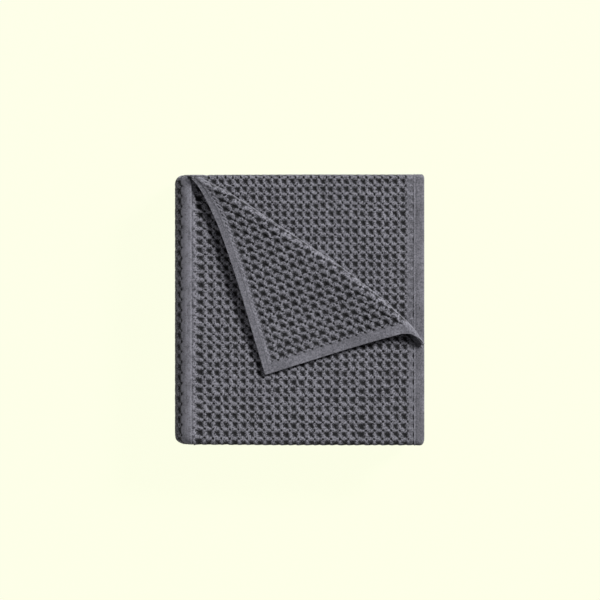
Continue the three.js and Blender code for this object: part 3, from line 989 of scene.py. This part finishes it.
def from_hems(along, flat):
    """How far the turned corner's flat cloth lies from its long hem's edge and its end's."""
    edge_place = on_chord(along[:, 0], free_edge(along)[:, 0])
    tip_place = on_chord(np.array(TIP_ALONG), free_edge(np.array(TIP_ALONG)))
    hem_way = np.array([math.cos(LONG_HEM_WAY), math.sin(LONG_HEM_WAY)])
    end_way = np.array([hem_way[1], -hem_way[0]])
    stray_long = np.where(along[:, 0] < TIP_ALONG, (edge_place - tip_place) @ end_way, 0)
    stray_end = np.where(along[:, 0] > TIP_ALONG, (edge_place - tip_place) @ hem_way, 0)
    p = (flat - tip_place) @ end_way - stray_long[:, None]
    q = (flat - tip_place) @ hem_way - stray_end[:, None]
    return p, q


def corner_weave(p, q, past_hem, on_roll):
    """Relief, weave, tone and cells of the turned corner's weave, without its hems."""
    a = (p - LONG_HEM) / CORNER_PITCH
    b = (q - END_HEM) / CORNER_PITCH
    a = a + (jitter(p / 8, q / 8, 9) * 0.5) / CORNER_PITCH
    b = b + (jitter(p / 8, q / 8, 10) * 0.5) / CORNER_PITCH
    relief, _, cells = waffle(b, a, 7)
    relief = (relief + RIB_PROUD) * (1 - 0.7 * on_roll)
    crowd_relief, crowd_tone, _ = waffle(q / CROWDED_PITCH, p / CROWDED_PITCH, 6)
    beside = smoothstep(past_hem, 0, 0.6) * falling(past_hem, 2.2, 4)
    relief = lerp(relief, 0.45 * crowd_relief + 0.2, beside)
    return relief, 1 - beside, lerp(crowd_tone, 0.58, 0.15), cells


def corner_hems(p, q, past_hem, along, on_roll, relief, weave, tone):
    """Puts the turned corner's two hems into its weave, with painted shade in a crease of the long
    hem beside its stitches and in the holes along the end hem's edge, and painted light on the hems
    towards the roll's right end.
    """
    flat_relief, flat_tone = plain(p, q, 12)
    scallop = 0.7 * wave(p, CORNER_PITCH)
    hem = np.maximum(
        falling(past_hem, -0.3, 0.4),
        falling(q + scallop, END_HEM - 0.3, END_HEM + 0.5))
    hem_relief, hem_tone = CORNER_HEM_PROUD + flat_relief - 0.2 * on_roll, flat_tone * 1.05
    # Painted light: the hems are lighter towards the roll's right end
    hem_tone = hem_tone * (1 + 0.2 * smoothstep(along, 200, 232))
    past_end_hem = smoothstep(q, END_HEM - 1, END_HEM + 1)
    stitches = line(past_hem + 0.8, 0.7) * (0.5 + 0.5 * wave(q, STITCH))
    # Painted shade in the crease beside the stitches
    crease = line(past_hem + 1.9, 0.9)
    hem_relief = hem_relief - 0.1 * crease * past_end_hem
    hem_tone = hem_tone * (1 + (0.5 * stitches - 0.2 * crease) * past_end_hem)
    # Painted shade in the holes along the end hem's edge
    stitch_hole = line(q + scallop - END_HEM + 0.2, 1.0)
    stitch_hole = stitch_hole * smoothstep(wave(p, CORNER_PITCH / 2), 0.2, 0.8)
    stitch_hole = stitch_hole * smoothstep(p, LONG_HEM, LONG_HEM + 2)
    relief = lerp(relief, hem_relief, hem) - 0.4 * stitch_hole
    return relief, weave * (1 - hem), lerp(tone, hem_tone, hem) * (1 - 0.6 * stitch_hole)


def roll_edge_highlight(along, around, relief, weave, tone):
    """Puts a raised line of threads along the roll's outer edge into the cloth, with a painted
    highlight on it, broken up by noise.
    """
    wander = 0.1 * noise(along / 6, 0 * along, 13)
    highlight = line(around - ROLL_HIGHLIGHT_ANGLE - wander, 0.34)
    highlight = highlight * smoothstep(noise(along / 2.5, around, 14), -0.9, -0.1)
    # Painted highlight along the roll's edge
    return relief + 0.15 * highlight, weave * (1 - 0.8 * highlight), lerp(tone, 1.1, 0.8 * highlight)


def turned_corner():
    """The corner of the top ply, turned over with its back side up."""
    along, across, up, shift, centre, radius = corner_sections()
    z = level_z(TOP_LEVEL + ALONE["first"]) + up
    middle = np.concatenate([on_chord(along + shift, across), z[..., None]], -1)
    # The cloth's own flat place, on from the roll's top by the distance round it
    steps = np.hypot(np.diff(across, axis=1), np.diff(up, axis=1))
    run_in = np.concatenate([np.zeros_like(along), np.cumsum(steps, 1)], 1)
    roll_top = run_in[:, RETURN_STEPS:RETURN_STEPS + 1]
    flat_across = np.where(run_in < roll_top, across, centre + run_in - roll_top)
    p, q = from_hems(along, on_chord(along + shift, flat_across))
    out = np.cross(np.gradient(middle, axis=1), np.gradient(middle, axis=0))
    out /= np.linalg.norm(out, axis=-1, keepdims=True)
    if out[len(out) // 2, RETURN_STEPS // 2, 2] < 0:
        out = -out
    on_roll = smoothstep(run_in, roll_top - 3, roll_top + 2)
    past_hem = p - (LONG_HEM - 1.5 * falling(along, 15, 75))
    relief, weave, tone, cells = corner_weave(p, q, past_hem, on_roll)
    relief, weave, tone = corner_hems(p, q, past_hem, along, on_roll, relief, weave, tone)
    around = (run_in - roll_top) / radius
    relief, weave, tone = roll_edge_highlight(along, around, relief, weave, tone)
    weave, tone = darker(weave, tone, CORNER_DARKER)
    piece = sheet_mesh("turned_corner", middle, out, relief, weave, tone, cells)
    dress(piece, (CORNER_LENGTH, CHORD_LENGTH), grid_area(middle))


# The lip where the corner starts to turn over: steps of its mesh, and its place
LIP_STEPS = 26
LIP_ROWS = 8
LIP_START_X, LIP_END_X = -99.5, -79.5
LIP_Y = 115.7


def corner_lip():
    """The small standing fold at the back where the corner starts to turn over."""
    x = np.linspace(LIP_START_X, LIP_END_X, LIP_STEPS)[:, None]
    foot = level_z(TOP_LEVEL + ALONE["first"]) + HALF_CLOTH + 0.1
    rise = 1.0 + 5.4 * smoothstep(x, LIP_START_X, -92) - 4.4 * smoothstep(x, -89.5, LIP_END_X)
    up = np.linspace(0, 1, LIP_ROWS)[None, :]
    z = foot + rise * up
    y = LIP_Y - 0.7 * falling(x, LIP_START_X, -96) - 0.5 * smoothstep(x, -83, LIP_END_X)
    middle = np.stack(np.broadcast_arrays(x, y, z), -1).copy()
    out = np.zeros_like(middle)
    out[..., 1] = 1
    relief = -0.45 - 0.5 * smoothstep(up, 0.7, 1) + 0 * x
    _, tone = plain(x + 0 * up, z, 12)
    # Painted light: the lip's tone rises towards its top edge
    tone = tone * (1.1 + 0.25 * up)
    cells = np.stack([x + 0 * up, z], -1)
    piece = sheet_mesh("corner_lip", middle, out, relief, 0 * relief, tone, cells)
    dress(piece, (LIP_END_X - LIP_START_X, LEAST_SIDE), grid_area(middle))


def outer_lengths():
    """Distance along the strip, and along the turned end's outer side there, as two lists."""
    u = np.linspace(0, PATH_LENGTH, 6000)
    place, heading = strip_at(u)
    reach = TURNED["first"] * PLY + HALF_CLOTH
    surface = place + np.stack([heading[:, 1], -heading[:, 0]], 1) * reach
    steps = np.hypot(*np.diff(surface, axis=0).T)
    return u, np.concatenate([[0], np.cumsum(steps)])


# Where the turned end's hem lies along the strip
HEM_ANGLE = math.asin((SHOULDER_X - TURNED_HEM_X) / (SHOULDER_RADIUS + TURNED["first"] * PLY))
HEM_U = PATH["upper shoulder"][0] + HEM_ANGLE * SHOULDER_RADIUS

# The band's corner radius, and how far its back edge stands back at its end
BAND_CORNER = 6.5
BAND_RECESS = 1.6

# How much lighter the band's hem is than a flat hem, as painted light
BAND_PAINTED_LIGHT = 1.6

# The length at the towel's far end that belongs to its fold
END_STRETCH = 15


def band_recess(s, w):
    """How far the band and what follows it stand back from the bundle's back edge."""
    recess = BAND_RECESS - 0.7 * smoothstep(s, 4, 8) + corner_recess(s, BAND_CORNER)
    recess = recess + 1.2 * smoothstep(s, END_HEM - 0.4, END_HEM + 0.8)
    return recess * falling(s, 16, 30) * falling(w, 3, 16)


def wrapped(name, start_u, end_u, start_w, end_w, pitch_y, steps, proud, layer):
    """A part of the turned end that lies outside the bundle, with its back side out."""
    u_list, s_list = outer_lengths()
    hem_s = np.interp(HEM_U, u_list, s_list)
    start_s, end_s = np.interp((start_u, end_u), u_list, s_list) - hem_s
    a = cell_steps((start_s - END_HEM) / PITCH_X, (end_s - END_HEM) / PITCH_X, steps)
    b = cell_steps(start_w / pitch_y, end_w / pitch_y, steps)
    a2, b2 = np.meshgrid(a, b, indexing="ij")
    s = a2 * PITCH_X + END_HEM
    w = b2 * pitch_y
    woven = smoothstep(s, END_HEM, END_HEM + 6) * smoothstep(w, 0, 8)
    s_moved = np.clip(s + woven * 0.6 * jitter(a2, b2, layer), start_s, end_s)
    u = np.interp(s_moved + hem_s, s_list, u_list)
    middle, out = cloth_at(u, w, "back")
    middle[..., 1] -= band_recess(s, w)
    relief, tone, cells = waffle(a2, b2, layer)
    flat_relief, flat_tone = plain(s, w, 12)
    mottled = 1 + 0.3 * noise(s / 2.2, w / 3.5, 15)
    flat_tone = flat_tone * mottled * (1 + 0.3 * smoothstep(s, 3, 9))
    hem = falling(s + 0.9 * wave(w, pitch_y), END_HEM - 0.4, END_HEM + 0.8)
    long_hem = lerp(LONG_HEM, SIDE_LONG_HEM, smoothstep(s, END_HEM - 1, END_HEM + 3))
    hem = np.maximum(hem, falling(w, long_hem - 0.3, long_hem + 0.5))
    relief = lerp(relief + proud, proud + flat_relief, hem)
    # Painted light: the hems here are made lighter than a flat hem
    relief, hem_tone = seam(s - END_HEM + 0.4, w, relief, flat_tone * BAND_PAINTED_LIGHT)
    tone = lerp(tone, hem_tone, hem)
    if name == "left_band":
        relief = relief - proud * smoothstep(u, PATH["side"][1], PATH["lower shoulder"][1] - 8)
    area = grid_area(middle)
    piece = sheet_mesh(name, middle, out, relief, 1 - hem, tone, cells)
    dress(piece, (end_w - start_w, area / (end_w - start_w)), area)


def wraps():
    """The turned end's outer width in three parts, and its back fold along the whole strip."""
    ends = ENDS["back"]
    side_end, turn_end = PATH["bottom"][0], PATH["third"][0]
    strip_end = PATH_LENGTH - END_STRETCH
    fold_end = ends["front fold"]
    wrapped("left_band", HEM_U, side_end, 0, fold_end, BAND_PITCH_Y, FINE, 0.3, 9)
    wrapped("underside", side_end, turn_end, 0, fold_end, PITCH_Y, 4, 0.0, 10)
    wrapped("inner_wrap", turn_end, strip_end, 0, fold_end, PITCH_Y, 3, 0.0, 11)
    wrapped("back_folds", HEM_U, strip_end, ends["outer"], ends["back fold"] + PAST_BACK_FOLD,
            PITCH_Y, 5, 0.1, 8)


def spaced(start, end, ends, bends, step, bend_step):
    """Distances from start to end by way of the ends between, closer together in the bends."""
    stops = [start] + [stop for stop in ends if start < stop < end] + [end]
    lists = []
    for one, two in zip(stops, stops[1:]):
        bent = any(low < (one + two) / 2 < high for low, high in bends)
        count = max(2, round((two - one) / (bend_step if bent else step)) + 1)
        lists.append(np.linspace(one, two, count)[:-1])
    return np.concatenate(lists + [[end]])


def across_list(side, start, end, step, fold_step=1.1):
    """Distances across the cloth."""
    ends = ENDS[side]
    folds = [(ends["first"], ends["front fold"]), (ends["outer"], ends["back fold"])]
    return spaced(start, end, ends.values(), folds, step, fold_step)


def along_list(start, end, step):
    """Distances along the strip."""
    bends = [part[:2] for name, part in PATH.items() if "turn" in name or "shoulder" in name]
    return spaced(start, end, [part[1] for part in PATH.values()], bends, step, 1.6)


def hidden_sheet(name, u_list, w_list, side, keep_below=None):
    """A part of the cloth that other plies cover, with plain surfaces."""
    u, w = np.meshgrid(u_list, w_list, indexing="ij")
    middle, out = cloth_at(u, w, side)
    top = (u < PATH["upper shoulder"][0]) & (side == "face")
    middle[..., 2] += np.where(top, undulation(middle), 0)
    keep = None
    if keep_below is not None:
        keep = across_fold(quad_centres(middle)) < keep_below
        snap_to_cut(middle, keep, keep_below)
    area = grid_area(middle, keep)
    none = 0 * u
    piece = sheet_mesh(name, middle, out, none, none, none + 0.5, np.stack([u, w], -1), keep)
    flat = (w_list[-1] - w_list[0], u_list[-1] - u_list[0])
    dress(piece, flat, min(area, flat[0] * flat[1]))


def hidden_cloth():
    """The plies that others cover, with the steps of their meshes along the strip and across."""
    face, back = ENDS["face"], ENDS["back"]
    top, end = PATH["upper shoulder"][0], PATH_LENGTH - END_STRETCH
    back_start = back["back fold"] + PAST_BACK_FOLD
    tucked_cut = CUT_LINE - SECOND_UNDER_CORNER - 0.5
    for name, side, along, across, rests_on, cut in (
        ("third_ply", "face", (0, top, 5), (face["front fold"], face["outer"], 5),
         "inner_wrap", None),
        ("tucked_cloth", "face", (0, top, 2.5), (face["back fold"], face["tucked"], 3.5),
         "third_ply", tucked_cut),
        ("covered_cloth", "face", (top + TOP_UNDER_BAND, end + 1, 6), (0, face["tucked"], 6),
         "back_lining", None),
        ("back_lining", "back", (HEM_U, end, 6), (back["front fold"], back["outer"], 6),
         "inner_wrap", None),
        ("back_tucked", "back", (HEM_U, end, 6), (back_start, back["tucked"], 6),
         "back_lining", None),
    ):
        hidden_sheet(name, along_list(*along), across_list(side, *across), side, cut)


def end_fold():
    """The fold where the towel's end turns back over its face, at the right of the inner panel."""
    flat_steps, turn_steps = 9, 10
    whole = ENDS["face"]["tucked"]
    shares = across_list("face", 0, whole, 1.9, 0.9) / whole
    face_w, back_w = (np.interp(shares, *width_shares(side)) for side in ("face", "back"))
    lengths = np.linspace(PATH_LENGTH - END_STRETCH, PATH_LENGTH, flat_steps)
    rows = [cloth_at(u, face_w, "face") for u in lengths]
    base, out = rows[-1]
    rows = [(middle, -normal) for middle, normal in rows]
    for i in range(1, turn_steps):
        turn = math.pi * i / turn_steps
        face = out * math.cos(turn) - np.array([1, 0, 0]) * math.sin(turn)
        rows.append((base + (out - face) * PLY / 2, -face))
    rows += [cloth_at(u, back_w, "back") for u in lengths[::-1]]
    middle, out = (np.array(part) for part in zip(*rows))
    steps = np.linalg.norm(np.diff(middle, axis=0), axis=-1).mean(1)
    s = np.concatenate([[0], np.cumsum(steps)])
    s2, w2 = np.meshgrid(s, face_w, indexing="ij")
    relief, tone, cells = waffle(s2 / PITCH_X, w2 / PITCH_Y, 5)
    piece = sheet_mesh("end_fold", middle, out, 0.8 * relief, 1 + 0 * relief, tone, cells)
    dress(piece, (face_w[-1], s[-1]), None)


def width_shares(side):
    """Shares of the width at the ends of its parts, and the distances across there."""
    face_ends = ENDS["face"]
    shares = [0] + [face_ends[width] / face_ends["tucked"] for width in WIDTHS]
    return shares, [0] + [ENDS[side][width] for width in WIDTHS]


top_ply()
second_ply()
turned_corner()
corner_lip()
wraps()
hidden_cloth()
end_fold()


# Floor, light and camera

# The picture's size, scale, lens and middle, and the height at which its scale holds
TOP_Z = 53
FRAME_PIXELS = 600
MM_PER_PIXEL = 0.862
LENS = 300
SENSOR = 36
PICTURE_MIDDLE = (0.3, 8.4)


def pale_floor():
    bpy.ops.mesh.primitive_plane_add(size=6, location=(0, 0, -0.0005))
    floor = bpy.context.object
    floor.name = "floor"
    material, shader = new_material("floor")
    give(shader, {"Base Color": (0.02, 0.02, 0.017, 1), "Roughness": 1, "Specular IOR Level": 0,
                  "Emission Color": (0.968, 0.988, 0.793, 1), "Emission Strength": 1})
    floor.data.materials.append(material)
    floor.visible_diffuse = False


def area_light(name, place, size, power, aim=(0, 0, 0.04)):
    data = bpy.data.lights.new(name, "AREA")
    data.energy = power
    data.size = size
    light = add_object(name, data)
    light.location = place
    light.rotation_euler = (Vector(aim) - Vector(place)).to_track_quat("-Z", "Y").to_euler()


def lights():
    area_light("key", (2.2, 1.7, 1.95), 0.8, 190)
    area_light("fill", (0, 0.4, 2.4), 1.2, 5)
    area_light("side fill", (-2.2, 0.6, 0.55), 0.8, 15)
    area_light("front fill", (0.3, -2.4, 0.4), 0.8, 12)
    world = bpy.data.worlds.new("studio")
    bpy.context.scene.world = world
    world.use_nodes = True
    background = world.node_tree.nodes["Background"]
    give(background, {"Color": (0.93, 0.95, 1, 1), "Strength": 0.035})


def camera():
    data = bpy.data.cameras.new("camera")
    data.lens = LENS
    data.sensor_width = SENSOR
    away = FRAME_PIXELS * MM_PER_PIXEL * LENS / SENSOR
    eye = add_object("camera", data)
    eye.location = (PICTURE_MIDDLE[0] * MM, PICTURE_MIDDLE[1] * MM, (TOP_Z + away) * MM)
    eye.rotation_euler = (0, 0, 0)
    bpy.context.scene.camera = eye


pale_floor()
lights()
camera()
bpy.context.scene.view_settings.view_transform = "Standard"
